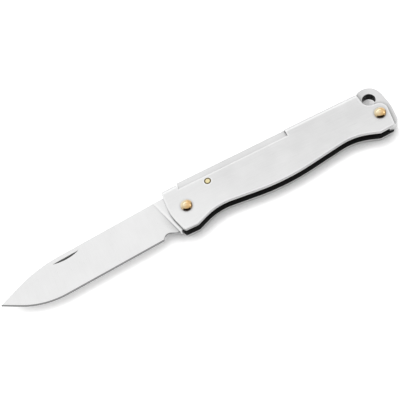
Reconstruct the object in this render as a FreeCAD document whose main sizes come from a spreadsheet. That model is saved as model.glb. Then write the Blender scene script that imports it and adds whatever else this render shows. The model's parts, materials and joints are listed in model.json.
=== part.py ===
import FreeCAD, Part
import math
import os

import Sketcher

# A folding pocket knife with a slip joint, drawn open. The plan view lies in X and Y with the blade's
# pivot at the middle of the sketches: +X runs to the tail of the handle, +Y to its spine, and +Z comes
# out of the front side. Lengths are millimetres and angles are degrees.
SIZES = {
    # sheet steel frame, folded along the spine
    "sheet": 1.1,
    "fold_radius": 2.0,
    "edge_break": 0.3,
    "front_reach": 7.05,
    "front_bow": 20.0,
    "front_bow_height": 2.0,
    "front_lean": 0.9,
    "spine_crown_x": 87.9,
    "spine_crown": 13.08,
    "spine_radius": 1845.0,
    "chin_ahead": 3.25,
    "chin_run": 4.72,
    "chin_round": 1.1,
    "bump_x": 0.7,
    "bump_depth": 9.1,
    "bump_round": 0.9,
    "grip_run": 4.0,
    "grip_rise": 1.855,
    "grip_radius": 22.5,
    "swell_depth": 7.52,
    "swell_fullness": 0.8,
    "waist_back": 15.72,
    "waist_rise": 3.3,
    "waist_radius": 22.5,
    "heel_back": 3.6,
    "heel_run": 3.91,
    "heel_round": 0.9,
    "toe_ahead": 1.4,
    "toe_rise": 0.545,
    "toe_round": 1.2,
    "end_ahead": 0.45,
    "end_run": 2.084,
    "end_round": 3.3,
    "corner_round": 0.3,
    # window in the fold, where the spring's back shows
    "window_end": 46.7,
    "window_front_depth": 2.823,
    "window_rear_depth": 3.620,
    "window_gap": 0.25,
    # riveted joints
    "shank_radius": 1.75,
    "shank_clearance": 0.03,
    "head_radius": 2.25,
    "dome_rise": 1.75,
    "dome_rim": 0.5,
    "button_rise": 0.7,
    "button_round": 0.25,
    "tail_x": 81.7,
    "tail_y": 0.3,
    "bushing_wall": 0.85,
    "washer_radius": 4.5,
    "washer_thick": 0.6,
    "washer_clearance": 0.05,
    # stop pin that the blade's choil closes on
    "stop_x": 11.33,
    "stop_y": 5.75,
    "stop_radius": 0.8,
    "stop_flare": 1.35,
    "stop_clearance": 0.02,
    "closed_angle": 175.0,
    # blade
    "blade_thick": 2.5,
    "spine_slope": 4.28,
    "fold_gap": 1.124,
    "drop_radius": 60.0,
    "drop_run": 8.17,
    "tip_reach": 78.45,
    "tip_depth": 3.3,
    "tip_round": 0.25,
    "belly_radius": 33.0,
    "belly_run": 7.77,
    "edge_slope": 4.0,
    "choil_radius": 2.45,
    "choil_lean": 29.1,
    "edge_start": 0.15,
    "edge_start_rise": 0.27,
    "edge_start_round": 0.12,
    "kick_land": 2.41,
    "kick_rise": 0.85,
    "kick_round": 0.4,
    "flat_end": 3.4,
    "flat_round": 0.4,
    "tang_reach": 5.8,
    "tang_corner": 3.5,
    "shoulder_round": 0.35,
    "plunge_ahead": 8.75,
    "plunge_lean": 17.3,
    "bevel_width": 0.6,
    "bevel_half": 0.2,
    "grind_half": 1.17,
    "grind_width": 16.0,
    "edge_land": 0.06,
    "nick_ahead": 49.15,
    "nick_below": 1.8,
    "nick_floor": 0.45,
    "nick_face": 0.95,
    "nick_width": 0.85,
    "nick_radius": 28.0,
    # back spring with the tail lug
    "spring_clearance": 0.05,
    "rest_gap": 0.03,
    "shoulder_gap": 0.05,
    "nose_x": 0.2,
    "nose_length": 3.1,
    "nose_round": 0.45,
    "arm_gap": 1.05,
    "arm_start": 6.1,
    "arm_hollow": 1.2,
    "back_stand": 0.306,
    "back_sink": 0.510,
    "back_round": 0.4,
    "lift_gap": 0.5,
    "root_gap": 0.1,
    "root_ahead": 14.0,
    "root_hollow": 10.0,
    "band_ahead": 0.9,
    "band_depth": 5.95,
    "band_round": 0.6,
    "band_corner": 2.6,
    "band_corner_out": 1.4,
    "band_corner_run": 1.4,
    "band_bow": 22.0,
    "band_bow_run": 3.5,
    "hole_back": 0.45,
    "hole_below": 4.766,
    "hole_radius": 2.6,
    "lug_wall": 2.8,
    "lug_clearance": 0.75,
    "hollow_gap": 0.5,
    "lug_gap": 0.2,
}
# cells for the place of the finished knife, measured once its pieces are drawn
SHIFTS = ("shift_x", "shift_y", "shift_z")


class Size:
    """A size that keeps its value beside its formula in the sheet."""

    def __init__(self, value, text):
        self.value = value
        self.text = text

    def __add__(self, other):
        other = as_size(other)
        return Size(self.value + other.value, f"({self.text} + {other.text})")

    def __sub__(self, other):
        other = as_size(other)
        return Size(self.value - other.value, f"({self.text} - {other.text})")

    def __mul__(self, other):
        other = as_size(other)
        return Size(self.value * other.value, f"({self.text} * {other.text})")

    def __truediv__(self, other):
        other = as_size(other)
        return Size(self.value / other.value, f"({self.text} / {other.text})")

    def __neg__(self):
        return Size(-self.value, f"(-1 * {self.text})")


def as_size(number):
    if isinstance(number, Size):
        return number
    return Size(float(number), repr(float(number)))


def cos(angle):
    return Size(math.cos(math.radians(angle.value)), f"cos({angle.text})")


def sin(angle):
    return Size(math.sin(math.radians(angle.value)), f"sin({angle.text})")


def tan(angle):
    return sin(angle) / cos(angle)


def root(size):
    return Size(math.sqrt(size.value), f"sqrt({size.text})")


def turned_back(x, y, angle):
    """A point of the closed blade, turned back to where it lies on the open blade."""
    return x * cos(angle) + y * sin(angle), y * cos(angle) - x * sin(angle)


doc = FreeCAD.newDocument("pocket_knife")
sheet = doc.addObject("Spreadsheet::Sheet", "sizes")
for row, alias in enumerate([*SIZES, *SHIFTS], start=1):
    sheet.set(f"A{row}", str(SIZES.get(alias, 0.0)))
    sheet.setAlias(f"A{row}", alias)
doc.recompute()


class Sheet:
    """The sheet's cells by name."""

    def __getattr__(self, alias):
        return Size(SIZES[alias], f"sizes.{alias}")


S = Sheet()
ZERO = as_size(0)
# how far off a plane a point may lie and still count as on it
FLAT = 1e-4


def spine_at(x, inset=ZERO):
    """Height of the spine, or of a line that runs a little inside it, at a place along the handle."""
    radius = S.spine_radius - inset
    aside = x - S.spine_crown_x
    return S.spine_crown - S.spine_radius + root(radius * radius - aside * aside)


slot_gap = S.blade_thick + (S.washer_thick + S.washer_clearance) * 2
thickness = slot_gap + S.sheet * 2
half_thick = thickness / 2
half_gap = slot_gap / 2
half_spring = half_gap - S.spring_clearance
hole_x = S.tail_x - S.hole_back
hole_y = spine_at(hole_x) - S.hole_below
hollow = S.hole_radius + S.hollow_gap
arm_under = S.stop_y + S.stop_radius + S.arm_gap
# a length that passes any piece in the plan
beyond = S.tail_x + S.tip_reach


def new_body(label, x=ZERO, y=ZERO):
    body = doc.addObject("PartDesign::Body", label)
    body.Label = label
    for axis, place in (("x", x), ("y", y), ("z", ZERO)):
        body.setExpression(f"Placement.Base.{axis}", f"{place.text} + sizes.shift_{axis}")
    return body


def new_sketch(body, name, role, along_normal=ZERO, lean=None):
    """A sketch on one of the body's own planes, moved along its normal and leaned about its upright."""
    sketch = body.newObject("Sketcher::SketchObject", name)
    plane = [feature for feature in body.Origin.OriginFeatures if feature.Role == role][0]
    sketch.AttachmentSupport = [(plane, "")]
    sketch.MapMode = "FlatFace"
    if lean is not None:
        turn = FreeCAD.Rotation(FreeCAD.Vector(0, 1, 0), lean.value)
        sketch.AttachmentOffset = FreeCAD.Placement(FreeCAD.Vector(), turn)
        sketch.setExpression("AttachmentOffset.Rotation.Angle", lean.text)
    sketch.setExpression("AttachmentOffset.Base.z", along_normal.text)
    return sketch


def fix(sketch, kind, *items):
    """A dimension of the sketch, bound to its formula."""
    size = items[-1]
    number = sketch.addConstraint(Sketcher.Constraint(kind, *items[:-1], size.value))
    sketch.setExpression(f"Constraints[{number}]", size.text)


def fix_point(sketch, item, end, x, y):
    fix(sketch, "DistanceX", -1, 1, item, end, x)
    fix(sketch, "DistanceY", -1, 1, item, end, y)


def add_line(sketch, start, end, construction=False):
    line = Part.LineSegment(FreeCAD.Vector(*start, 0), FreeCAD.Vector(*end, 0))
    return sketch.addGeometry(line, construction)


def add_circle(sketch, x, y, radius, construction=False):
    centre = FreeCAD.Vector(x.value, y.value, 0)
    item = sketch.addGeometry(Part.Circle(centre, FreeCAD.Vector(0, 0, 1), radius.value), construction)
    fix_point(sketch, item, 3, x, y)
    fix(sketch, "Radius", item, radius)
    return item


def join(sketch, first, first_end, second, second_end):
    sketch.addConstraint(Sketcher.Constraint("Coincident", first, first_end, second, second_end))


def add_chain(sketch, points):
    """Straight lines from point to point, joined end to end."""
    spots = [(x.value, y.value) for x, y in points]
    lines = [add_line(sketch, *ends) for ends in zip(spots, spots[1:])]
    for line, following in zip(lines, lines[1:]):
        join(sketch, line, 2, following, 1)
    return lines


def add_polygon(sketch, points):
    """A closed outline of straight lines through the points."""
    lines = add_chain(sketch, [*points, points[0]])
    join(sketch, lines[-1], 2, lines[0], 1)
    for line, point in zip(lines, points):
        fix_point(sketch, line, 1, *point)


def tangent_run(first, second):
    """Both ends of the straight run from one corner circle to the next.

    A corner is (x, y, radius, turn), with turn 1 where the outline rounds outwards and -1 in a hollow.
    """
    x1, y1, r1, turn1 = first
    x2, y2, r2, turn2 = second
    length = math.hypot(x2 - x1, y2 - y1)
    ex = (x2 - x1) / length
    ey = (y2 - y1) / length
    across = (turn2 * r2 - turn1 * r1) / length
    along = math.sqrt(1 - across * across)
    nx = across * ex - along * ey
    ny = across * ey + along * ex
    return (x1 - turn1 * r1 * nx, y1 - turn1 * r1 * ny), (x2 - turn2 * r2 * nx, y2 - turn2 * r2 * ny)


def add_arc(sketch, corner, arrive, leave):
    """A corner's arc between two points on its circle, and which ends of it the outline meets."""
    x, y, radius, turn = corner
    arrive_angle = math.atan2(arrive[1] - y, arrive[0] - x)
    leave_angle = math.atan2(leave[1] - y, leave[0] - x)
    circle = Part.Circle(FreeCAD.Vector(x, y, 0), FreeCAD.Vector(0, 0, 1), radius)
    if turn > 0:
        return sketch.addGeometry(Part.ArcOfCircle(circle, arrive_angle, leave_angle)), 1, 2
    return sketch.addGeometry(Part.ArcOfCircle(circle, leave_angle, arrive_angle)), 2, 1


def add_outline(sketch, corners):
    """A closed outline, drawn anticlockwise, of corner arcs joined by tangent lines."""
    plain = [(x.value, y.value, radius.value, turn) for x, y, radius, turn in corners]
    count = len(plain)
    runs = [tangent_run(plain[i], plain[(i + 1) % count]) for i in range(count)]
    lines = [add_line(sketch, *run) for run in runs]
    for i, (x, y, radius, turn) in enumerate(corners):
        arc, arrive_end, leave_end = add_arc(sketch, plain[i], runs[i - 1][1], runs[i][0])
        sketch.addConstraint(Sketcher.Constraint("Tangent", lines[i - 1], 2, arc, arrive_end))
        sketch.addConstraint(Sketcher.Constraint("Tangent", lines[i], 1, arc, leave_end))
        fix_point(sketch, arc, 3, x, y)
        fix(sketch, "Radius", arc, radius)


def apart(gap, run, offset):
    """How far apart two corners lie one way, from their straight run and their offset the other way.

    The gap is the difference of the corners' radii, or the sum where one of the two is a hollow.
    """
    return root(gap * gap + run * run - offset * offset)


def bow_between(first, second, radius, run):
    """The corner of a shallow bow outside two corners, with a straight run to each."""
    x1, y1, radius1, turn = first
    x2, y2, radius2, turn = second
    dx = x2 - x1
    dy = y2 - y1
    length = root(dx * dx + dy * dy)
    reach1 = (radius - radius1) * (radius - radius1) + run * run
    reach2 = (radius - radius2) * (radius - radius2) + run * run
    along = (length + (reach1 - reach2) / length) / 2
    across = root(reach1 - along * along)
    return x1 + (dx * along - dy * across) / length, y1 + (dy * along + dx * across) / length, radius, turn


def pad(body, name, sketch, length):
    """A pad centred on its sketch."""
    feature = body.newObject("PartDesign::Pad", name)
    feature.Profile = sketch
    feature.SideType = "Symmetric"
    feature.setExpression("Length", length.text)
    return feature


def pocket(body, name, sketch, length):
    """A pocket centred on its sketch."""
    feature = body.newObject("PartDesign::Pocket", name)
    feature.Profile = sketch
    feature.SideType = "Symmetric"
    feature.setExpression("Length", length.text)
    return feature


def edges_where(feature, chosen):
    """Names of the edges of a feature that pass a test."""
    doc.recompute()
    edges = enumerate(feature.Shape.Edges, start=1)
    return [f"Edge{i}" for i, edge in edges if not edge.Degenerated and chosen(edge)]


def on_outer_face(edge):
    """Whether an edge of the frame lies flat in its front or rear face."""
    heights = [vertex.Z for vertex in edge.Vertexes] + [edge.CenterOfMass.z]
    return all(abs(abs(height) - half_thick.value) < FLAT for height in heights)


def drill(body, name, places):
    sketch = new_sketch(body, name + "_places", "XY_Plane")
    for x, y, radius in places:
        add_circle(sketch, x, y, radius)
    pocket(body, name, sketch, thickness * 2)


def add_channel(sketch, left, right, bottom, inset):
    """A block under the spine's curve, open room or blank sheet."""
    centre = (S.spine_crown_x, S.spine_crown - S.spine_radius)
    radius = S.spine_radius - inset
    left_top = (left, spine_at(left, inset))
    right_top = (right, spine_at(right, inset))
    left_side, floor, right_side = add_chain(sketch, [left_top, (left, bottom), (right, bottom), right_top])
    circle = (centre[0].value, centre[1].value, radius.value, 1)
    arrive, leave = [(x.value, y.value) for x, y in (right_top, left_top)]
    arc, arrive_end, leave_end = add_arc(sketch, circle, arrive, leave)
    join(sketch, right_side, 2, arc, arrive_end)
    join(sketch, arc, leave_end, left_side, 1)
    fix_point(sketch, arc, 3, *centre)
    fix(sketch, "Radius", arc, radius)
    fix_point(sketch, floor, 1, left, bottom)
    fix_point(sketch, floor, 2, right, bottom)
    fix(sketch, "DistanceX", -1, 1, left_side, 1, left)
    fix(sketch, "DistanceX", -1, 1, right_side, 2, right)


def add_side_outline(sketch):
    """The outline that both sides are trimmed to, left open above the spine."""
    front_x = -S.front_reach
    above = S.spine_crown + S.fold_radius
    corner = S.corner_round
    chin_drop = apart(S.front_bow - S.chin_round, S.chin_run, S.front_bow - S.chin_ahead)
    bump_y = S.bump_round - S.bump_depth
    grip_y = S.grip_rise - S.swell_depth - S.grip_radius
    grip_x = S.bump_x + apart(S.grip_radius + S.bump_round, S.grip_run, bump_y - grip_y)
    waist_y = S.waist_rise - S.swell_depth - S.waist_radius
    waist_x = S.tail_x - S.waist_back
    # the swell lies between the two hollows, with straight runs left on both sides of its arc
    reach = (waist_x - grip_x) / (root(S.grip_rise) + root(S.waist_rise))
    swell_x = grip_x + reach * root(S.grip_rise)
    swell = reach * reach / 2 * S.swell_fullness - S.grip_radius
    heel_x = S.tail_x - S.heel_back
    heel_y = waist_y + apart(S.waist_radius + S.heel_round, S.heel_run, S.waist_back - S.heel_back)
    end_x = S.tail_x + S.end_ahead
    end_drop = apart(S.end_round + hollow, S.end_run, end_x - hole_x)
    add_outline(sketch, [
        (front_x + S.front_lean, above, corner, 1),
        (front_x + S.front_bow, S.front_bow_height, S.front_bow, 1),
        (front_x + S.chin_ahead, S.front_bow_height - chin_drop, S.chin_round, 1),
        (S.bump_x, bump_y, S.bump_round, 1),
        (grip_x, grip_y, S.grip_radius, -1),
        (swell_x, swell - S.swell_depth, swell, 1),
        (waist_x, waist_y, S.waist_radius, -1),
        (heel_x, heel_y, S.heel_round, 1),
        (S.tail_x + S.toe_ahead, heel_y + S.toe_rise, S.toe_round, 1),
        (end_x, hole_y - end_drop, S.end_round, 1),
        (hole_x, hole_y, hollow, -1),
        (fold_end() - corner, above, corner, 1),
    ])


def folded_frame():
    """Both sides of the handle, one sheet folded over the spine at the front and at the rear."""
    body = new_body("folded_frame")
    left = -(S.front_reach + S.sheet)
    right = S.tail_x + S.end_ahead + S.end_round + S.sheet
    bottom = -(S.bump_depth + S.sheet)
    blank_outline = new_sketch(body, "blank_outline", "XY_Plane")
    add_channel(blank_outline, left, right, bottom, ZERO)
    blank = pad(body, "blank", blank_outline, thickness)

    def on_spine(edge):
        box = edge.BoundBox
        return on_outer_face(edge) and box.YMin > 0 and box.YLength < box.XLength

    fold = body.newObject("PartDesign::Fillet", "fold")
    fold.Base = (blank, edges_where(blank, on_spine))
    fold.setExpression("Radius", S.fold_radius.text)

    slot_outline = new_sketch(body, "slot_outline", "XY_Plane")
    add_channel(slot_outline, left - S.sheet, right + S.sheet, bottom - S.sheet, S.sheet)
    pocket(body, "slot", slot_outline, slot_gap)

    trim_outline = new_sketch(body, "trim_outline", "XY_Plane")
    add_polygon(trim_outline, [(-beyond, -beyond), (beyond, -beyond), (beyond, beyond), (-beyond, beyond)])
    add_side_outline(trim_outline)
    pocket(body, "trim", trim_outline, thickness * 2)

    window = new_sketch(body, "window_outline", "XY_Plane")
    front_x = S.nose_x - S.window_gap
    front_y = spine_at(front_x) - S.window_front_depth
    add_polygon(window, [
        (front_x, front_y),
        (S.window_end, spine_at(S.window_end) - S.window_rear_depth),
        (S.window_end, beyond),
        (front_x, beyond),
    ])
    pocket(body, "window", window, thickness * 2)

    shank_hole = S.shank_radius + S.shank_clearance
    drill(body, "rivet_holes", [(ZERO, ZERO, shank_hole), (S.tail_x, S.tail_y, shank_hole)])

    flare = new_sketch(body, "stop_hole_profile", "XZ_Plane", -S.stop_y)
    add_polygon(flare, stop_profile(S.stop_x, S.stop_clearance))
    stop_hole = turn_about(body, "PartDesign::Groove", "stop_hole", flare, (S.stop_x, ZERO), (0, 1))

    def on_rim(edge):
        in_hole = len(edge.Vertexes) == 1
        return on_outer_face(edge) and not in_hole and edge.BoundBox.YMin < front_y.value + FLAT

    broken = body.newObject("PartDesign::Chamfer", "broken_edges")
    broken.Base = (stop_hole, edges_where(stop_hole, on_rim))
    broken.setExpression("Size", S.edge_break.text)
    return body


def fold_end():
    """Where the rear fold ends, just clear of the lanyard lug."""
    return hole_x - S.hole_radius - S.lug_clearance - S.edge_break


def stop_profile(x, clearance):
    """Half the section of the flared stop pin, or of its hole."""
    shank = x + S.stop_radius + clearance
    flare = x + S.stop_flare + clearance
    return [
        (x, -half_thick),
        (flare, -half_thick),
        (shank, -half_gap),
        (shank, half_gap),
        (flare, half_thick),
        (x, half_thick),
    ]


def back_spring():
    """The spring that presses on the tang, with its riveted tail, lanyard lug and end band."""
    body = new_body("back_spring")
    step_x = S.window_end - S.window_gap
    step_y = spine_at(step_x, S.sheet) - S.lift_gap
    nose_y = S.tang_reach + S.rest_gap
    nose = S.nose_round
    small = S.corner_round
    back = S.back_round
    band_x = S.tail_x + S.band_ahead
    band_y = S.tail_y - S.band_depth
    band_rise = apart(S.band_corner - S.band_round, S.band_corner_run, S.band_corner_out)
    band_corner = (band_x + S.band_corner_out, band_y + band_rise, S.band_corner, 1)
    outline = new_sketch(body, "spring_outline", "XY_Plane")
    add_outline(outline, [
        (S.nose_x + nose, nose_y + nose, nose, 1),
        (S.nose_x + S.nose_length - nose, nose_y + nose, nose, 1),
        (S.arm_start, arm_under - S.arm_hollow, S.arm_hollow, -1),
        (S.tail_x - S.root_ahead, arm_under - S.root_hollow, S.root_hollow, -1),
        (band_x, band_y, S.band_round, 1),
        band_corner,
        (hole_x, hole_y, S.hole_radius, 1),
        (step_x + small, step_y + small, small, -1),
        (step_x - back, spine_at(step_x) - S.back_sink - back, back, 1),
        (S.nose_x + back, spine_at(S.nose_x) + S.back_stand - back, back, 1),
    ])
    pad(body, "spring_blank", outline, half_spring * 2)

    lug = (hole_x, hole_y, S.hole_radius + S.lug_wall, 1)
    band_bow = bow_between(band_corner, lug, S.band_bow, S.band_bow_run)
    end_outline = new_sketch(body, "end_outline", "XY_Plane")
    add_outline(end_outline, [band_corner, band_bow, lug])
    pad(body, "end_plate", end_outline, half_spring * 2)

    # the lug stands clear of the fold's end, and the spring's root passes under the fold
    lug_front = hole_x - hollow + S.lug_gap
    relief = new_sketch(body, "relief_outline", "XY_Plane")
    add_polygon(relief, [
        (step_x, step_y),
        (lug_front, spine_at(lug_front, S.sheet) - S.root_gap),
        (lug_front, beyond),
        (step_x, beyond),
    ])
    pocket(body, "relief", relief, thickness)
    drill(body, "spring_holes", [
        (S.tail_x, S.tail_y, S.shank_radius + S.shank_clearance),
        (hole_x, hole_y, S.hole_radius),
    ])
    return body


def spine_height():
    """Height of the blade's spine over the pivot, just under the front fold."""
    return spine_at(ZERO, S.sheet) - S.fold_gap


def edge_start():
    """Where the cutting edge starts, just ahead of the choil."""
    x, y, radius, turn = choil_corner()
    return x - radius - S.edge_start, y + S.edge_start_rise


def edge_line(x):
    """Height of the straight cutting edge, or of its extension, at a place along the blade."""
    start_x, start_y = edge_start()
    return (x - start_x) * tan(S.edge_slope) + start_y


def spine_line(x):
    """Height of the blade's straight spine, or of its extension, at a place along the blade."""
    return spine_height() + x * tan(S.spine_slope)


def tip_corner():
    return S.tip_round - S.tip_reach, -S.tip_depth, S.tip_round, 1


def towards_tip(line, slope, radius, run, side):
    """Corner of the arc that leaves one of the blade's two lines and ends in a straight run to the tip.

    The arc lies above its line with side 1 and below it with side -1.
    """
    tip_x, tip_y, tip_radius, turn = tip_corner()
    off_line = (tip_y - line(tip_x)) * cos(slope) * side
    across = radius - off_line
    reach = radius - tip_radius
    along = root(run * run + reach * reach - across * across)
    x = tip_x + along * cos(slope) - across * sin(slope) * side
    y = tip_y + along * sin(slope) + across * cos(slope) * side
    return x, y, radius, turn


def drop_corner():
    return towards_tip(spine_line, S.spine_slope, S.drop_radius, S.drop_run, -1)


def belly_corner():
    return towards_tip(edge_line, S.edge_slope, S.belly_radius, S.belly_run, 1)


def choil_corner():
    """The hollow that takes the stop pin when the blade is closed."""
    stop_x, stop_y = turned_back(S.stop_x, S.stop_y, S.closed_angle)
    distance = root(S.stop_x * S.stop_x + S.stop_y * S.stop_y)
    seat = (S.choil_radius - S.stop_radius - S.stop_clearance) / distance
    # the pin meets the hollow's wall at a lean from the way that the blade swings
    along = seat * cos(S.choil_lean)
    outward = seat * sin(S.choil_lean)
    x = stop_x - stop_y * along + stop_x * outward
    y = stop_y + stop_x * along + stop_y * outward
    return x, y, S.choil_radius, -1


def blade_corners():
    """The blade's outline: shoulder, spine, tip, cutting edge, choil, kick and squared tang."""
    shoulder_x = S.nose_x - S.shoulder_gap
    shoulder = S.shoulder_round
    reach = S.tang_reach
    inset = reach - S.tang_corner
    start_x, start_y = edge_start()
    start_round = S.edge_start_round
    choil = choil_corner()
    kick_x = choil[0] + S.choil_radius + S.kick_land
    flat_x, flat_y = turned_back(S.flat_end, reach + S.flat_round, S.closed_angle)
    far_x, far_y = turned_back(-inset, inset, S.closed_angle)
    return [
        (shoulder_x - shoulder, spine_height() - shoulder, shoulder, 1),
        drop_corner(),
        tip_corner(),
        belly_corner(),
        (start_x, start_y + start_round / cos(S.edge_slope), start_round, 1),
        choil,
        (kick_x, choil[1] + S.kick_rise, S.kick_round, 1),
        (flat_x, flat_y, S.flat_round, -1),
        (far_x, far_y, S.tang_corner, 1),
        (inset, inset, S.tang_corner, 1),
        (shoulder_x + shoulder, reach + shoulder, shoulder, -1),
    ]


def plunge_foot():
    """Where the plunge line meets the cutting edge's line, measured along the plunge line."""
    lean = S.plunge_lean
    return edge_line(-S.plunge_ahead) / (cos(lean) + sin(lean) * tan(S.edge_slope))


def add_edge_path(sketch):
    """The way that the grind follows: from the plunge line along the edge and past the tip."""
    foot = plunge_foot()
    start_x = -(S.plunge_ahead + foot * sin(S.plunge_lean))
    start_y = foot * cos(S.plunge_lean)
    belly = [size.value for size in belly_corner()[:3]]
    tip = tip_corner()
    slope = math.radians(S.edge_slope.value)
    touch = (belly[0] + belly[2] * math.sin(slope), belly[1] - belly[2] * math.cos(slope))
    tip_end, rise_start = tangent_run([*[size.value for size in tip[:3]], 1], [*belly, 1])
    past_tip = S.tip_reach + S.tip_depth
    share = (past_tip.value + rise_start[0]) / (rise_start[0] - tip_end[0])
    far_end = (-past_tip.value, rise_start[1] + share * (tip_end[1] - rise_start[1]))
    edge = add_line(sketch, (start_x.value, start_y.value), touch)
    arc, arrive_end, leave_end = add_arc(sketch, (*belly, 1), rise_start, touch)
    rise = add_line(sketch, rise_start, far_end)
    tip_circle = add_circle(sketch, *tip[:3], construction=True)
    fix_point(sketch, edge, 1, start_x, start_y)
    fix_point(sketch, arc, 3, *belly_corner()[:2])
    fix(sketch, "Radius", arc, S.belly_radius)
    sketch.addConstraint(Sketcher.Constraint("Tangent", edge, 2, arc, leave_end))
    sketch.addConstraint(Sketcher.Constraint("Tangent", rise, 1, arc, arrive_end))
    sketch.addConstraint(Sketcher.Constraint("Tangent", rise, tip_circle))
    fix(sketch, "DistanceX", -1, 1, rise, 2, -past_tip)


def grind_profile(side):
    """Section of what is ground off one side: edge bevel, flat grind and the room outside them."""
    foot = plunge_foot()
    slope = (S.grind_half - S.bevel_half) / (S.grind_width - S.bevel_width)
    # far enough up the leaning line to pass the spine
    far = (spine_height() - edge_start()[1]) / cos(S.plunge_lean) + S.blade_thick
    outside = S.blade_thick * side
    below = foot - S.edge_land - S.blade_thick
    return [
        (below, ZERO),
        (foot - S.edge_land, ZERO),
        (foot + S.bevel_width, S.bevel_half * side),
        (foot + far, (S.bevel_half + slope * (far - S.bevel_width)) * side),
        (foot + far, outside),
        (below, outside),
    ]


def blade():
    """The blade, ground flat on both sides from a leaning plunge line, with a nail nick in front."""
    body = new_body("blade")
    outline = new_sketch(body, "blade_outline", "XY_Plane")
    add_outline(outline, blade_corners())
    pad(body, "blade_blank", outline, S.blade_thick)
    drill(body, "pivot_hole", [(ZERO, ZERO, bushing_radius())])
    path = new_sketch(body, "edge_path", "XY_Plane")
    add_edge_path(path)
    for name, side in (("front_grind", 1), ("rear_grind", -1)):
        profile = new_sketch(body, name + "_profile", "YZ_Plane", -S.plunge_ahead, S.plunge_lean)
        add_polygon(profile, grind_profile(side))
        grind = body.newObject("PartDesign::SubtractivePipe", name)
        grind.Profile = profile
        grind.Spine = path
    nick = new_sketch(body, "nick_profile", "YZ_Plane", -S.nick_ahead, S.spine_slope)
    upper = spine_line(-S.nick_ahead) - S.nick_below
    run = S.nick_width / (S.nick_face - S.nick_floor) * (S.blade_thick - S.nick_floor)
    add_polygon(nick, [
        (upper, S.nick_floor),
        (upper, S.blade_thick),
        (upper - run, S.blade_thick),
    ])
    turn_about(body, "PartDesign::Groove", "nail_nick", nick, (ZERO, S.nick_floor + S.nick_radius), (1, 0))
    return body


def turn_about(body, kind, name, sketch, spot, way):
    """Turn a profile once round a line of its sketch that runs through a spot, along X or along Y."""
    feature = body.newObject(kind, name)
    feature.Profile = sketch
    x, y = spot
    end_x, end_y = x + way[0], y + way[1]
    axis = add_line(sketch, (x.value, y.value), (end_x.value, end_y.value), construction=True)
    fix_point(sketch, axis, 1, x, y)
    fix_point(sketch, axis, 2, end_x, end_y)
    feature.ReferenceAxis = (sketch, ["Axis0"])
    feature.Angle = 360
    return feature


def bushing_radius():
    return S.shank_radius + S.shank_clearance + S.bushing_wall


def rivet(label, x, y):
    """A solid rivet with a tall dome in front and a low button, closed over the sheet, behind."""
    body = new_body(label, x, y)
    profile = new_sketch(body, label + "_profile", "XZ_Plane")
    front = half_thick + S.dome_rim
    top = half_thick + S.dome_rise
    rear = -(half_thick + S.button_rise)
    crown = S.dome_rise - S.dome_rim
    # the dome is the cap of a ball whose middle lies below the rim
    ball = (S.head_radius * S.head_radius + crown * crown) / (crown * 2)
    spots = [
        (ZERO, top),
        (ZERO, rear),
        (S.head_radius - S.button_round, rear),
        (S.head_radius, rear + S.button_round),
        (S.head_radius, -half_thick),
        (S.shank_radius, -half_thick),
        (S.shank_radius, half_thick),
        (S.head_radius, half_thick),
        (S.head_radius, front),
    ]
    lines = add_chain(profile, spots)
    for line, spot in zip(lines, spots):
        fix_point(profile, line, 1, *spot)
    fix_point(profile, lines[-1], 2, *spots[-1])
    dome = (ZERO.value, (top - ball).value, ball.value, 1)
    rim, peak = [(across.value, height.value) for across, height in (spots[-1], spots[0])]
    arc, arrive_end, leave_end = add_arc(profile, dome, rim, peak)
    join(profile, lines[-1], 2, arc, arrive_end)
    join(profile, lines[0], 1, arc, leave_end)
    fix(profile, "DistanceX", -1, 1, arc, 3, ZERO)
    turn_about(body, "PartDesign::Revolution", label + "_turned", profile, (ZERO, ZERO), (0, 1))
    return body


def stop_pin():
    """The flush pin across the slot, flared into both sides, that the choil closes on."""
    body = new_body("stop_pin", S.stop_x, S.stop_y)
    profile = new_sketch(body, "stop_pin_profile", "XZ_Plane")
    add_polygon(profile, stop_profile(ZERO, ZERO))
    turn_about(body, "PartDesign::Revolution", "stop_pin_turned", profile, (ZERO, ZERO), (0, 1))
    return body


def ring(label, outer, inner, middle, height):
    """A plain ring round the pivot."""
    body = new_body(label)
    sketch = new_sketch(body, label + "_outline", "XY_Plane", middle)
    add_circle(sketch, ZERO, ZERO, outer)
    add_circle(sketch, ZERO, ZERO, inner)
    pad(body, label + "_pad", sketch, height)
    return body


washer_middle = half_gap - S.washer_thick / 2
washer_bore = S.shank_radius + S.shank_clearance
pieces = [
    folded_frame(),
    back_spring(),
    blade(),
    rivet("pivot_rivet", ZERO, ZERO),
    rivet("tail_rivet", S.tail_x, S.tail_y),
    stop_pin(),
    ring("pivot_bushing", bushing_radius(), washer_bore, ZERO, S.blade_thick),
    ring("front_washer", S.washer_radius, washer_bore, washer_middle, S.washer_thick),
    ring("rear_washer", S.washer_radius, washer_bore, -washer_middle, S.washer_thick),
]
doc.recompute()

# The knife lies on its rear rivet heads, with the middle of its outline over the origin.
boxes = [body.Shape.optimalBoundingBox(False) for body in pieces]
middle_x = (min(box.XMin for box in boxes) + max(box.XMax for box in boxes)) / 2
middle_y = (min(box.YMin for box in boxes) + max(box.YMax for box in boxes)) / 2
lowest = min(box.ZMin for box in boxes)
for alias, shift in zip(SHIFTS, (-middle_x, -middle_y, -lowest)):
    sheet.set(sheet.getCellFromAlias(alias), str(shift))
doc.recompute()

for item in doc.Objects:
    if "Invalid" in item.State or "Error" in item.State:
        raise RuntimeError(f"{item.Label} failed: {item.State}")
for body in pieces:
    if body.Shape.isNull() or not body.Shape.isValid() or len(body.Shape.Solids) != 1:
        raise RuntimeError(f"{body.Label} is not one valid solid")

os.makedirs("parts", exist_ok=True)
for body in pieces:
    body.Shape.exportStep(f"parts/{body.Label}.step")
    print(body.Label, round(body.Shape.Volume, 2), body.Shape.BoundBox)
print("pivot at", sheet.shift_x, sheet.shift_y, sheet.shift_z)
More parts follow.
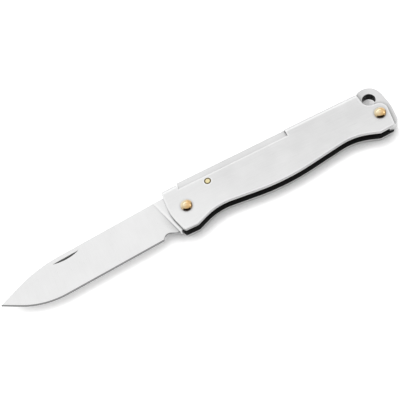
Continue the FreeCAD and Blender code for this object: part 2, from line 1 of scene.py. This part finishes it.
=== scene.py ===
import json
import math

import bpy
from mathutils import Matrix, Vector


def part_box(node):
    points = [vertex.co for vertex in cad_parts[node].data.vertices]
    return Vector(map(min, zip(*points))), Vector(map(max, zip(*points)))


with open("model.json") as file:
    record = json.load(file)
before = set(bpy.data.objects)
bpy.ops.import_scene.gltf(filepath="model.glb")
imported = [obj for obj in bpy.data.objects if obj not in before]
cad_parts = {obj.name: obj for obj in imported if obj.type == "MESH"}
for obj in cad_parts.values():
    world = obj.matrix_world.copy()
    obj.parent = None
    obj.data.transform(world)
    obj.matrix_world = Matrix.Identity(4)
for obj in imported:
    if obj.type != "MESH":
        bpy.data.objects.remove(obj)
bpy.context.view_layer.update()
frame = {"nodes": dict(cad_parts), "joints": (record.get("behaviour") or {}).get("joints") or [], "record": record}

MM = 0.001
JOINTS = {joint["name"]: joint for joint in frame["joints"]}
MOUNTS = {mount["name"]: mount for mount in frame["record"]["mounts"]}

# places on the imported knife: X runs from the tip to the tail, Y from the belly to the spine
PIVOT = Vector(JOINTS["blade_pivot"]["pos_m"])
TAIL = Vector(JOINTS["spring_lift"]["pos_m"])
LANYARD_HOLE = Vector(MOUNTS["lanyard_hole"]["pos_m"])
HOLE_RADIUS = 2.6 * MM
LUG_REACH = 7.5 * MM
FRONT_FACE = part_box("folded_frame")[1].z
# the slot's half width is the spring's half thickness and its side clearance
HALF_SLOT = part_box("back_spring")[1].z - PIVOT.z + 0.05 * MM
# the blade's plunge line: how far ahead of the pivot it starts, and how far it leans to the tip
PLUNGE_AHEAD = 8.75 * MM
PLUNGE_LEAN = math.radians(17.3)

# the photograph: square, with the pivot rivet's foot at a known pixel
IMAGE_SIDE = 400
FOCAL_PIXELS = 893
PIVOT_PIXEL = (186.5, 205.5)
PIXELS_PER_METRE = 2660
SENSOR_MM = 36
NEAREST = 0.01
CAMERA_TILT = 29.0
CAMERA_TURN = -5.7
HANDLE_RISE = 25.4
# its right and down, laid in the plan
IMAGE_RIGHT = (0.9, -0.43, 0.0)
IMAGE_DOWN = (-0.43, -0.9, 0.0)

# the paper: its side, its tone, and its glow, which makes it read as white to the eye and in a gloss
FLOOR_SIDE = 6.0
PAPER_TONE = (0.84, 0.86)
PAPER_FIBRES = (900.0, 900.0, 900.0)
FLOOR_GLOW = 0.6
MIRRORED_GLOW = 0.15
# a painted shadow: the glow is dimmed this far out from the knife, where it stands between the paper and the
# spine's side
SHADOW_REACH = 9 * MM
SHADOW_WAY = (0.0, 0.99, 0.1)
SHADOW_RAMP = (0.45, 0.95)
# a painted shadow on the paper below the lanyard hole, for the lug's shade
UNDER_HOLE = Vector((0, 4.5 * MM, 0))
LUG_SHADE = (0.5 * MM, 5 * MM)

# the white tent: its level at the horizon and overhead, and a dark opening low on the camera's side
HORIZON = 0.7
ZENITH = 0.9
OVERHEAD_RAMP = (0.0, 0.8)
OPENING_SHADE = 0.97
OPENING_WAY = (-0.3, -0.95, 0.0)
OPENING_HEIGHT = (0.58, 0.3)
OPENING_WIDTH = (0.3, 0.7)

# soft panels: name, azimuth, elevation, width, height, radiance, and whether a gloss shows them
PANEL_DISTANCE = 1.1
PANELS = (
    ("key_softbox", 200, 74, 1.4, 0.8, 1.0, False),
    ("back_panel", 180, 40, 1.6, 0.3, 0.5, True),
    ("tail_panel", 75, 23, 0.3, 0.3, 1.6, True),
)

# satin: the scales of its fine grain, its streaks and its clouds, in turns per metre along X, Y and Z
ALONG_HANDLE = ((160.0, 5200.0, 5200.0), (40.0, 1300.0, 1300.0))
ACROSS_BLADE = ((5200.0, 160.0, 160.0), (1300.0, 40.0, 40.0))
CLOUDS = (90.0, 90.0, 90.0)
# how far the tone swings with the grain, and the clouds' swing as a multiple of it
SHEET_MOTTLE = 0.055
BLADE_MOTTLE = 0.03
CLOUDING = 1.5
STREAK_SWING = 0.015
GRAIN_ROUGHNESS = 0.06
CLOUD_ROUGHNESS = 0.04
STEEL_RELIEF = 0.12
RELIEF_DEPTH = 0.02 * MM
# how far the broken edges are rounded over
EDGE_ROUND = 0.2 * MM
# painted highlight along the edges: how far in from an edge it reaches on the sheet and on the other pieces; by
# what turn, and how bright
SHEET_HIGHLIGHT_REACH = 1.2 * MM
EDGE_HIGHLIGHT_REACH = 0.2 * MM
EDGE_HIGHLIGHT_TURN = (0.9995, 0.96)
EDGE_HIGHLIGHT_LIFT = 0.2
# painted shade in crevices: how near another surface has to be to darken a crevice, and the level deep in it;
# the spring has one level ahead of its lug and another at the lug
FRAME_CREVICE, FRAME_DEEPEST = 1.0 * MM, 0.1
SPRING_CREVICE, SPRING_DEEPEST = 1.8 * MM, (0.75, -0.6)
BLADE_CREVICE, BLADE_DEEPEST = 0.8 * MM, -0.1
# how much of the painted shade in the blade's own hollows is given back
HOLLOW_LIGHT = 0.6

# the sheet of the frame, with painted light: lighter towards the nose and the belly
FRAME_TONE, FRAME_ROUGH = 0.785, 0.36
NOSEWARD, NOSE_LIGHT = (PIVOT.x + 28 * MM, PIVOT.x - 4 * MM), 0.35
BELLYWARD, BELLY_LIGHT = (PIVOT.y + 7 * MM, PIVOT.y - 5 * MM), 0.2
# painted shade on its upright edges, as a share of a dark tone: a small one towards the spine, a larger towards
# the belly
SHEET_EDGE = 0.3
EDGE_SHADE_SHARE = (0.1, 0.27)
EDGE_SHADE_TONE = 0.1
FACING_BELLY = (0.0, -0.3)
# the darkest painted shade: on edges that face the tip, and in a line under the face at the chin
DARK_EDGE = 0.05
FACING_TIP, NOSE_SHADE = (-0.4, -0.8), 0.8
FACING_DOWN, CHIN_SHADE = (-0.5, -0.7), 0.9
CHIN_LENGTH = (PIVOT.x + 3 * MM, PIVOT.x + 1 * MM)
CHIN_DEPTH = (FRONT_FACE - 0.65 * MM, FRONT_FACE - 0.5 * MM)
# a painted highlight along the line where the face turns into the fold
BEND_START, BEND_END = (0.005, 0.06), (0.8, 0.4)
BEND_HIGHLIGHT_TONE, BEND_HIGHLIGHT_SHARE = 0.97, 0.7
# painted shade inside the slot, as a dark colour, with the limits below which a face looks to the middle or down
# from the fold
SLOT_SHADE_TONE, SLOT_SHADE_ROUGH = 0.09, 0.55
FACING_IN = -0.5 * MM
UNDER_FOLD = -0.5

# the spring, with painted shade as a dark colour on its underside and in its hole, and a greyer lug
SPRING_TONE, SPRING_ROUGH = 0.8, 0.4
UNDERSIDE_SHADE_TONE = 0.02
UNDERSIDE_SHADE_END = TAIL.x + 0.6 * MM
UNDERSIDE = -0.3
HOLE_WALL, HOLE_MARGIN = 0.5, 0.03 * MM
LUG_TONE, LUG_SHARE = 0.6, 0.65
LUG_EDGE = (LUG_REACH, 0.8 * LUG_REACH)
LUG_FADE = (LANYARD_HOLE.x + 4 * MM, LANYARD_HOLE.x - 4 * MM)
REARWARD = (LANYARD_HOLE.x - 2 * LUG_REACH, LANYARD_HOLE.x - LUG_REACH)

# the blade, with a painted dark reflection on the edge bevels and painted shade on the choil
BLADE_TONE, BLADE_ROUGH = 0.92, 0.3
BEVEL_TURN, BEVEL_REFLECTION_TONE = (0.85, 0.985), 0.3
WALL_TURN, WALL_SHADE_TONE = 0.3, 0.12
CHOIL_LENGTH, CHOIL_SHADE_SHARE = (PIVOT.x - 7 * MM, PIVOT.x - 8.5 * MM), (0.5, 1.0)
# painted shade at the grind's end by the plunge line, darker towards the edge, and a painted highlight at the
# ricasso's start
GRIND_LENGTH, PLUNGE_SHADE_TONE = 3.2 * MM, 0.45
EDGEWARD, PLUNGE_SHADE_SHARE = (PIVOT.y + 5 * MM, PIVOT.y - 6 * MM), (0.05, 0.4)
RICASSO_HIGHLIGHT_LENGTH = 1.5 * MM

# copper alloys: a colour, its tarnish and a roughness
RIVET_BRASS = ((0.92, 0.64, 0.32, 1), (0.74, 0.42, 0.17, 1), 0.1)
PIN_BRASS = ((0.95, 0.84, 0.5, 1), (0.75, 0.62, 0.32, 1), 0.3)
BEARING_BRONZE = ((0.7, 0.5, 0.3, 1), (0.5, 0.33, 0.2, 1), 0.35)
TURNING_MARKS = (2600.0, 2600.0, 2600.0)
TARNISH_PATCHES = (420.0, 420.0, 420.0)
TARNISH_SHARE = (-0.2, 0.5)
MARK_ROUGHNESS = 0.05
BRASS_RELIEF = 0.08
# painted shade at the pin's rim, as shares of its flare's radius
PIN_RIM = (0.55, 0.75)
PIN_RIM_SHADE_COLOUR = (0.14, 0.11, 0.05, 1)
# painted highlight and dark reflections on a rivet's head: where each turns between two values, how far it takes a
# colour, and the colour
CROWN_HIGHLIGHT = ((0.3, -0.3), 0.85, (1.0, 0.9, 0.64, 1))
LOWER_HALF_SHADE = ((0.2, 0.5), 0.5, (0.55, 0.33, 0.12, 1))
RIGHT_RIM_SHADE = ((0.6, 0.74), 0.8, (0.2, 0.12, 0.06, 1))
FOOT_SHADE_TURN, FOOT_SHADE_LEAN, FOOT_SHADE_COLOUR = (0.6, 0.78), 0.12, (0.06, 0.03, 0.01, 1)


def add_node(tree, kind, settings=None, **inputs):
    """A shader node with its settings and inputs.

    An input is named, or numbered as i0, i1 and so on. It is a number, a colour or another node's socket.
    """
    made = tree.nodes.new(kind)
    for name, value in (settings or {}).items():
        setattr(made, name, value)
    for name, value in inputs.items():
        numbered = name[0] == "i" and name[1:].isdigit()
        socket = made.inputs[int(name[1:]) if numbered else name]
        if isinstance(value, bpy.types.NodeSocket):
            tree.links.new(value, socket)
        else:
            socket.default_value = value
    return made


def math_node(tree, operation, first, second=0.0):
    made = add_node(tree, "ShaderNodeMath", {"operation": operation}, i0=first, i1=second)
    return made.outputs[0]


def times(tree, first, second):
    return math_node(tree, "MULTIPLY", first, second)


def plus(tree, first, second):
    return math_node(tree, "ADD", first, second)


def below(tree, value, limit):
    return math_node(tree, "LESS_THAN", value, limit)


def above(tree, value, limit):
    return math_node(tree, "GREATER_THAN", value, limit)


def vector_node(tree, operation, first, second):
    return add_node(tree, "ShaderNodeVectorMath", {"operation": operation}, i0=first, i1=second)


def dot(tree, first, second):
    return vector_node(tree, "DOT_PRODUCT", first, second).outputs["Value"]


def split(tree, vector):
    """A vector's X, Y and Z."""
    return add_node(tree, "ShaderNodeSeparateXYZ", i0=vector).outputs


def off_axis(tree, coords, centre):
    """Distance from an upright line through a place."""
    flat = vector_node(tree, "MULTIPLY", coords.outputs["Object"], (1, 1, 0)).outputs[0]
    return vector_node(tree, "DISTANCE", flat, (centre.x, centre.y, 0)).outputs["Value"]


def spread(tree, value, low, high):
    """A value from 0 to 1, stretched to a range."""
    return add_node(tree, "ShaderNodeMapRange", i0=value, i3=low, i4=high).outputs[0]


def ramp(tree, value, start, end):
    """Nothing up to a start value, rising smoothly to one at an end value."""
    smooth = {"interpolation_type": "SMOOTHSTEP"}
    return add_node(tree, "ShaderNodeMapRange", smooth, i0=value, i1=start, i2=end).outputs[0]


def noise(tree, coords, scale, detail=3.0, roughness=0.55):
    """A noise value over the object's coordinates, at a scale in turns per metre along X, Y and Z."""
    mapped = add_node(tree, "ShaderNodeMapping", Vector=coords.outputs["Object"], Scale=scale)
    texture = add_node(tree, "ShaderNodeTexNoise", Vector=mapped.outputs[0], Scale=1.0, Detail=detail,
                       Roughness=roughness)
    return texture.outputs[0]


def grey(level):
    return (level, level, level, 1.0)


def grey_node(tree, level):
    return add_node(tree, "ShaderNodeCombineColor", i0=level, i1=level, i2=level).outputs[0]


def mix_colour(tree, share, first, second):
    mixed = add_node(tree, "ShaderNodeMix", {"data_type": "RGBA"}, i0=share, i6=first, i7=second)
    return mixed.outputs[2]


def open_air(tree, reach, own_only=False, facing=None):
    """One where nothing stands near, falling to nothing deep in a crevice; perhaps looking one way."""
    settings = {"samples": 8, "only_local": own_only}
    seen = add_node(tree, "ShaderNodeAmbientOcclusion", settings, Distance=reach)
    if facing is not None:
        way = add_node(tree, "ShaderNodeCombineXYZ", i0=facing[0], i1=facing[1], i2=facing[2])
        tree.links.new(way.outputs[0], seen.inputs["Normal"])
    return seen.outputs["AO"]


def new_material(name):
    """A new material with its tree, its principled shader and its coordinates."""
    material = bpy.data.materials.new(name)
    material.use_nodes = True
    tree = material.node_tree
    return material, tree, tree.nodes["Principled BSDF"], add_node(tree, "ShaderNodeTexCoord")


def steel(name, tone, rough, grain_way, highlight_reach, mottle):
    """Satin steel with a fine grain, slow clouding and a painted highlight along its edges."""
    material, tree, shader, coords = new_material(name)
    fine, coarse = grain_way
    grain = noise(tree, coords, fine, detail=4.0)
    streaks = noise(tree, coords, coarse)
    clouds = noise(tree, coords, CLOUDS)
    clouding = CLOUDING * mottle
    lightness = plus(tree, spread(tree, grain, -mottle, mottle),
                     spread(tree, clouds, -clouding, clouding))
    lightness = plus(tree, lightness, spread(tree, streaks, -STREAK_SWING, STREAK_SWING))
    roughness = plus(tree, spread(tree, grain, rough - GRAIN_ROUGHNESS, rough + GRAIN_ROUGHNESS),
                     spread(tree, clouds, -CLOUD_ROUGHNESS, CLOUD_ROUGHNESS))
    rounded = add_node(tree, "ShaderNodeBevel", {"samples": 6}, Radius=EDGE_ROUND).outputs[0]
    near_edge = add_node(tree, "ShaderNodeBevel", {"samples": 8}, Radius=highlight_reach).outputs[0]
    true_normal = add_node(tree, "ShaderNodeNewGeometry").outputs["True Normal"]
    # painted highlight: lighter along the edges
    edge_highlight = ramp(tree, dot(tree, near_edge, true_normal), *EDGE_HIGHLIGHT_TURN)
    level = plus(tree, plus(tree, lightness, tone), times(tree, edge_highlight, EDGE_HIGHLIGHT_LIFT))
    bump = add_node(tree, "ShaderNodeBump", Strength=STEEL_RELIEF, Distance=RELIEF_DEPTH,
                    Height=plus(tree, grain, streaks), Normal=rounded)
    shader.inputs["Metallic"].default_value = 1.0
    tree.links.new(bump.outputs[0], shader.inputs["Normal"])
    return material, tree, shader, coords, grey_node(tree, level), roughness, near_edge


def finish_steel(tree, shader, base, roughness, openness, deepest):
    """The colour, with painted shade where another surface stands near, and the roughness."""
    # painted shade where another surface stands near
    shade = grey_node(tree, spread(tree, openness, deepest, 1.0))
    shaded = add_node(tree, "ShaderNodeMix", {"data_type": "RGBA", "blend_type": "MULTIPLY"},
                      i0=1.0, i6=base, i7=shade)
    tree.links.new(shaded.outputs[2], shader.inputs["Base Color"])
    tree.links.new(roughness, shader.inputs["Roughness"])


def painted_sheet_light(tree, place):
    """Painted light: how far the sheet is lighter towards the nose and the belly."""
    noseward = times(tree, ramp(tree, place[0], *NOSEWARD), NOSE_LIGHT)
    bellyward = times(tree, ramp(tree, place[1], *BELLYWARD), BELLY_LIGHT)
    return plus(tree, noseward, bellyward)


def slot_shade_mask(tree, place, normal):
    """One on the surfaces inside the slot, where shade is painted: the two sides' inner faces and the fold's
    underside.
    """
    aside = math_node(tree, "SUBTRACT", place[2], PIVOT.z)
    facing_in = below(tree, times(tree, normal[2], aside), FACING_IN)
    between = below(tree, math_node(tree, "ABSOLUTE", aside), HALF_SLOT)
    under_fold = times(tree, below(tree, normal[1], UNDER_FOLD), between)
    return math_node(tree, "MAXIMUM", facing_in, under_fold)


def shade_sheet_edges(tree, base, place, normal):
    """Painted shade on the sheet's edges: greyer towards the belly, dark where they face the tip and in a line at
    the chin.
    """
    edge = below(tree, math_node(tree, "ABSOLUTE", normal[2]), SHEET_EDGE)
    edge_shade = spread(tree, ramp(tree, normal[1], *FACING_BELLY), *EDGE_SHADE_SHARE)
    base = mix_colour(tree, times(tree, edge, edge_shade), base, grey(EDGE_SHADE_TONE))
    nose = times(tree, edge, ramp(tree, normal[0], *FACING_TIP))
    base = mix_colour(tree, times(tree, nose, NOSE_SHADE), base, grey(DARK_EDGE))
    chin = times(tree, edge, ramp(tree, normal[1], *FACING_DOWN))
    chin = times(tree, chin, ramp(tree, place[0], *CHIN_LENGTH))
    chin = times(tree, chin, ramp(tree, place[2], *CHIN_DEPTH))
    return mix_colour(tree, times(tree, chin, CHIN_SHADE), base, grey(DARK_EDGE))


def frame_steel():
    """Satin outside, with a grain along the handle and a painted highlight at the bend; painted shade in the slot.
    """
    material, tree, shader, coords, base, roughness, near_edge = steel(
        "satin_frame_steel", FRAME_TONE, FRAME_ROUGH, ALONG_HANDLE, SHEET_HIGHLIGHT_REACH, SHEET_MOTTLE)
    place = split(tree, coords.outputs["Object"])
    normal = split(tree, coords.outputs["Normal"])
    # painted light: lighter towards the nose and the belly
    base = mix_colour(tree, painted_sheet_light(tree, place), base, grey(1.0))
    # painted shade on the sheet's edges
    base = shade_sheet_edges(tree, base, place, normal)
    # painted highlight where the face turns into the fold
    bent = split(tree, near_edge)[1]
    bend_highlight = times(tree, ramp(tree, bent, *BEND_START), ramp(tree, bent, *BEND_END))
    base = mix_colour(tree, times(tree, bend_highlight, BEND_HIGHLIGHT_SHARE), base, grey(BEND_HIGHLIGHT_TONE))
    # painted shade: a dark colour inside the slot
    slot_shade = slot_shade_mask(tree, place, normal)
    base = mix_colour(tree, slot_shade, base, grey(SLOT_SHADE_TONE))
    roughness = math_node(tree, "MAXIMUM", roughness, spread(tree, slot_shade, 0.0, SLOT_SHADE_ROUGH))
    finish_steel(tree, shader, base, roughness, open_air(tree, FRAME_CREVICE), FRAME_DEEPEST)
    return material


def spring_steel():
    """Satin, with painted shade as a dark colour on the underside within the slot and in the lanyard hole."""
    material, tree, shader, coords, base, roughness, _ = steel(
        "satin_spring_steel", SPRING_TONE, SPRING_ROUGH, ALONG_HANDLE, EDGE_HIGHLIGHT_REACH, SHEET_MOTTLE)
    place = split(tree, coords.outputs["Object"])
    normal = split(tree, coords.outputs["Normal"])
    from_hole = off_axis(tree, coords, LANYARD_HOLE)
    lug = times(tree, ramp(tree, from_hole, *LUG_EDGE), ramp(tree, place[0], *LUG_FADE))
    base = mix_colour(tree, times(tree, lug, LUG_SHARE), base, grey(LUG_TONE))
    # painted shade: a dark colour on the underside within the slot and in the lanyard hole
    under = times(tree, below(tree, normal[1], UNDERSIDE), below(tree, place[0], UNDERSIDE_SHADE_END))
    in_hole = times(tree, below(tree, from_hole, HOLE_RADIUS + HOLE_MARGIN),
                    below(tree, math_node(tree, "ABSOLUTE", normal[2]), HOLE_WALL))
    base = mix_colour(tree, math_node(tree, "MAXIMUM", under, in_hole), base, grey(UNDERSIDE_SHADE_TONE))
    deepest = spread(tree, ramp(tree, place[0], *REARWARD), *SPRING_DEEPEST)
    finish_steel(tree, shader, base, roughness, open_air(tree, SPRING_CREVICE), deepest)
    return material


def tone_plunge(tree, coords, base, place):
    """Painted shade darkens the grind towards the plunge line, most at the edge's end; a painted highlight starts
    the ricasso bright.
    """
    to_tip = Vector((-math.cos(PLUNGE_LEAN), -math.sin(PLUNGE_LEAN), 0))
    start = to_tip.dot(PIVOT - Vector((PLUNGE_AHEAD, 0, 0)))
    past = math_node(tree, "SUBTRACT", dot(tree, coords.outputs["Object"], to_tip), start)
    # painted shade at the grind's end
    grind = times(tree, ramp(tree, past, GRIND_LENGTH, 0.0), above(tree, past, 0.0))
    share = spread(tree, ramp(tree, place[1], *EDGEWARD), *PLUNGE_SHADE_SHARE)
    base = mix_colour(tree, times(tree, grind, share), base, grey(PLUNGE_SHADE_TONE))
    # painted highlight at the ricasso's start
    ricasso = times(tree, ramp(tree, past, -RICASSO_HIGHLIGHT_LENGTH, 0.0), below(tree, past, 0.0))
    return mix_colour(tree, ricasso, base, grey(1.0))


def blade_steel():
    """A satin grind across the blade, with a painted dark reflection on the edge bevels and painted shade on the
    choil.
    """
    material, tree, shader, coords, base, roughness, _ = steel(
        "satin_blade_steel", BLADE_TONE, BLADE_ROUGH, ACROSS_BLADE, EDGE_HIGHLIGHT_REACH, BLADE_MOTTLE)
    place = split(tree, coords.outputs["Object"])
    normal = split(tree, coords.outputs["Normal"])
    flatness = math_node(tree, "ABSOLUTE", normal[2])
    # painted dark reflection on the edge bevels
    bevel = times(tree, above(tree, flatness, BEVEL_TURN[0]), below(tree, flatness, BEVEL_TURN[1]))
    base = mix_colour(tree, bevel, base, grey(BEVEL_REFLECTION_TONE))
    # painted shade on the downward walls at the choil
    walls = times(tree, below(tree, flatness, WALL_TURN), below(tree, normal[1], -WALL_TURN))
    walls = times(tree, walls, below(tree, place[1], PIVOT.y))
    choil = spread(tree, ramp(tree, place[0], *CHOIL_LENGTH), *CHOIL_SHADE_SHARE)
    base = mix_colour(tree, times(tree, walls, choil), base, grey(WALL_SHADE_TONE))
    base = tone_plunge(tree, coords, base, place)
    own_hollows = math_node(tree, "SUBTRACT", 1.0, open_air(tree, BLADE_CREVICE, own_only=True))
    openness = plus(tree, open_air(tree, BLADE_CREVICE), times(tree, own_hollows, HOLLOW_LIGHT))
    finish_steel(tree, shader, base, roughness, openness, BLADE_DEEPEST)
    return material


def paint_dome_light(tree, coords, base):
    """A head's painted light: a pale highlight over its left and crown, dark reflections on its lower half, its
    right rim and its foot.
    """
    normal = coords.outputs["Normal"]
    right, down = dot(tree, normal, IMAGE_RIGHT), dot(tree, normal, IMAGE_DOWN)
    # painted highlight and painted dark reflections on the head
    for turned, (ends, share, colour) in ((right, CROWN_HIGHLIGHT), (down, LOWER_HALF_SHADE), (right, RIGHT_RIM_SHADE)):
        base = mix_colour(tree, times(tree, ramp(tree, turned, *ends), share), base, colour)
    foot = plus(tree, down, times(tree, right, FOOT_SHADE_LEAN))
    return mix_colour(tree, ramp(tree, foot, *FOOT_SHADE_TURN), base, FOOT_SHADE_COLOUR)


def shade_pin_rim(tree, coords, base):
    """Painted shade: the pin's flared ends are dark at the rim."""
    low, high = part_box("stop_pin")
    flare = (high.x - low.x) / 2
    out = off_axis(tree, coords, (low + high) / 2)
    # painted shade at the rim
    rim = ramp(tree, out, PIN_RIM[0] * flare, PIN_RIM[1] * flare)
    return mix_colour(tree, rim, base, PIN_RIM_SHADE_COLOUR)


def brass(name, alloy, painted_light=None):
    """Polished copper alloy with faint turning marks, tarnish in patches and perhaps painted light and shade of
    its own.
    """
    material, tree, shader, coords = new_material(name)
    colour, tarnished, rough = alloy
    marks = noise(tree, coords, TURNING_MARKS, detail=2.0)
    tarnish = noise(tree, coords, TARNISH_PATCHES)
    base = mix_colour(tree, spread(tree, tarnish, *TARNISH_SHARE), colour, tarnished)
    if painted_light is not None:
        base = painted_light(tree, coords, base)
    roughness = spread(tree, marks, rough - MARK_ROUGHNESS, rough + MARK_ROUGHNESS)
    bump = add_node(tree, "ShaderNodeBump", Strength=BRASS_RELIEF, Distance=RELIEF_DEPTH, Height=marks)
    shader.inputs["Metallic"].default_value = 1.0
    tree.links.new(base, shader.inputs["Base Color"])
    tree.links.new(roughness, shader.inputs["Roughness"])
    tree.links.new(bump.outputs[0], shader.inputs["Normal"])
    return material


def dress_nodes():
    """Every CAD node gets its finish."""
    rivet_brass = brass("polished_rivet_brass", RIVET_BRASS, paint_dome_light)
    bronze = brass("turned_bearing_bronze", BEARING_BRONZE)
    finishes = {
        "folded_frame": frame_steel(),
        "back_spring": spring_steel(),
        "blade": blade_steel(),
        "pivot_rivet": rivet_brass,
        "tail_rivet": rivet_brass,
        "stop_pin": brass("flush_pin_brass", PIN_BRASS, shade_pin_rim),
        "pivot_bushing": bronze,
        "front_washer": bronze,
        "rear_washer": bronze,
    }
    for name, material in finishes.items():
        slots = frame["nodes"][name].data.materials
        slots.clear()
        slots.append(material)


def paper_glow(tree, coords):
    """The paper's own light, dimmed by a painted shadow near the knife and below the lanyard hole.

    Rays from the eye, a gloss or a clear surface see it, and no others, so it lights nothing.
    """
    path = add_node(tree, "ShaderNodeLightPath").outputs
    to_eye = times(tree, path["Is Camera Ray"], FLOOR_GLOW)
    mirrored = math_node(tree, "MAXIMUM", path["Is Glossy Ray"], path["Is Transmission Ray"])
    glow = plus(tree, to_eye, times(tree, mirrored, MIRRORED_GLOW))
    # painted shadow: the glow dims near the knife and below the lanyard hole
    in_the_open = ramp(tree, open_air(tree, SHADOW_REACH, facing=SHADOW_WAY), *SHADOW_RAMP)
    past_lug = ramp(tree, off_axis(tree, coords, LANYARD_HOLE + UNDER_HOLE), *LUG_SHADE)
    return times(tree, glow, times(tree, in_the_open, past_lug))


def white_paper():
    """Matt paper with faint fibres."""
    material, tree, shader, coords = new_material("white_paper_floor")
    fibres = noise(tree, coords, PAPER_FIBRES, detail=2.0)
    tree.links.new(grey_node(tree, spread(tree, fibres, *PAPER_TONE)), shader.inputs["Base Color"])
    shader.inputs["Roughness"].default_value = 1.0
    shader.inputs["Specular IOR Level"].default_value = 0.0
    shader.inputs["Emission Color"].default_value = grey(1.0)
    tree.links.new(paper_glow(tree, coords), shader.inputs["Emission Strength"])
    return material


def add_floor():
    """A wide pale floor that reads as white paper and keeps the knife's shadow, deepened by a painted shadow in
    its glow.
    """
    half = FLOOR_SIDE / 2
    corners = [(-half, -half, 0), (half, -half, 0), (half, half, 0), (-half, half, 0)]
    mesh = bpy.data.meshes.new("floor")
    mesh.from_pydata(corners, [], [(0, 1, 2, 3)])
    mesh.materials.append(white_paper())
    floor = bpy.data.objects.new("floor", mesh)
    bpy.context.scene.collection.objects.link(floor)


def light_world():
    """White surroundings, with a darker opening low down on the camera's side; to the eye all white."""
    world = bpy.data.worlds.new("white_tent")
    bpy.context.scene.world = world
    world.use_nodes = True
    tree = world.node_tree
    tree.nodes.clear()
    way = add_node(tree, "ShaderNodeTexCoord").outputs["Generated"]
    height = split(tree, way)[2]
    low = ramp(tree, height, *OPENING_HEIGHT)
    front = ramp(tree, dot(tree, way, OPENING_WAY), *OPENING_WIDTH)
    opening = times(tree, times(tree, low, front), OPENING_SHADE)
    overhead = spread(tree, ramp(tree, height, *OVERHEAD_RAMP), HORIZON, ZENITH)
    level = times(tree, overhead, math_node(tree, "SUBTRACT", 1.0, opening))
    seen = add_node(tree, "ShaderNodeLightPath").outputs["Is Camera Ray"]
    level = math_node(tree, "MAXIMUM", level, seen)
    shown = add_node(tree, "ShaderNodeBackground", Color=grey(1.0), Strength=level)
    add_node(tree, "ShaderNodeOutputWorld", Surface=shown.outputs[0])


def add_softbox(name, azimuth, elevation, width, height, radiance, mirrored):
    """A soft panel light that faces the knife.

    Azimuth 0 is over the blade's edge side, 90 past the tail. A panel that isn't mirrored lies beside what
    the steel shows: it lights the paper and no gloss.
    """
    around, up = math.radians(azimuth), math.radians(elevation)
    level = math.cos(up)
    away = Vector((math.sin(around) * level, -math.cos(around) * level, math.sin(up)))
    light = bpy.data.lights.new(name, "AREA")
    light.shape = "RECTANGLE"
    light.size = width
    light.size_y = height
    light.energy = radiance * math.pi * width * height
    lamp = bpy.data.objects.new(name, light)
    lamp.location = PIVOT + away * PANEL_DISTANCE
    lamp.rotation_mode = "QUATERNION"
    lamp.rotation_quaternion = away.to_track_quat("Z", "Y")
    lamp.visible_glossy = mirrored
    bpy.context.scene.collection.objects.link(lamp)


def camera_axes():
    """The camera's right, up and back: over the belly side, with the handle rising to the right."""
    tilt, turn = math.radians(CAMERA_TILT), math.radians(CAMERA_TURN)
    lean = math.sin(tilt)
    back = Vector((lean * math.sin(turn), -lean * math.cos(turn), math.cos(tilt)))
    spine_way, tail_way = Vector((0, 1, 0)), Vector((1, 0, 0))
    level_up = (spine_way - back * spine_way.dot(back)).normalized()
    level_right = level_up.cross(back)
    rise = math.atan2(tail_way.dot(level_up), tail_way.dot(level_right))
    roll = math.radians(HANDLE_RISE) - rise
    right = level_right * math.cos(roll) - level_up * math.sin(roll)
    up = level_right * math.sin(roll) + level_up * math.cos(roll)
    return right, up, back


def place_camera():
    """The photograph's view, with the pivot rivet's foot at its pixel."""
    right, up, back = camera_axes()
    middle = IMAGE_SIDE / 2
    aside = (PIVOT_PIXEL[0] - middle) / FOCAL_PIXELS
    above_middle = (middle - PIVOT_PIXEL[1]) / FOCAL_PIXELS
    distance = FOCAL_PIXELS / PIXELS_PER_METRE
    rivet_foot = Vector((PIVOT.x, PIVOT.y, FRONT_FACE))
    data = bpy.data.cameras.new("photo_camera")
    data.sensor_width = SENSOR_MM
    data.lens = SENSOR_MM * FOCAL_PIXELS / IMAGE_SIDE
    data.clip_start = NEAREST
    camera = bpy.data.objects.new("photo_camera", data)
    camera.matrix_world = Matrix((right, up, back)).transposed().to_4x4()
    camera.location = rivet_foot + (back - right * aside - up * above_middle) * distance
    bpy.context.scene.collection.objects.link(camera)
    bpy.context.scene.camera = camera


dress_nodes()
add_floor()
light_world()
for panel in PANELS:
    add_softbox(*panel)
place_camera()
bpy.context.scene.view_settings.view_transform = "Standard"
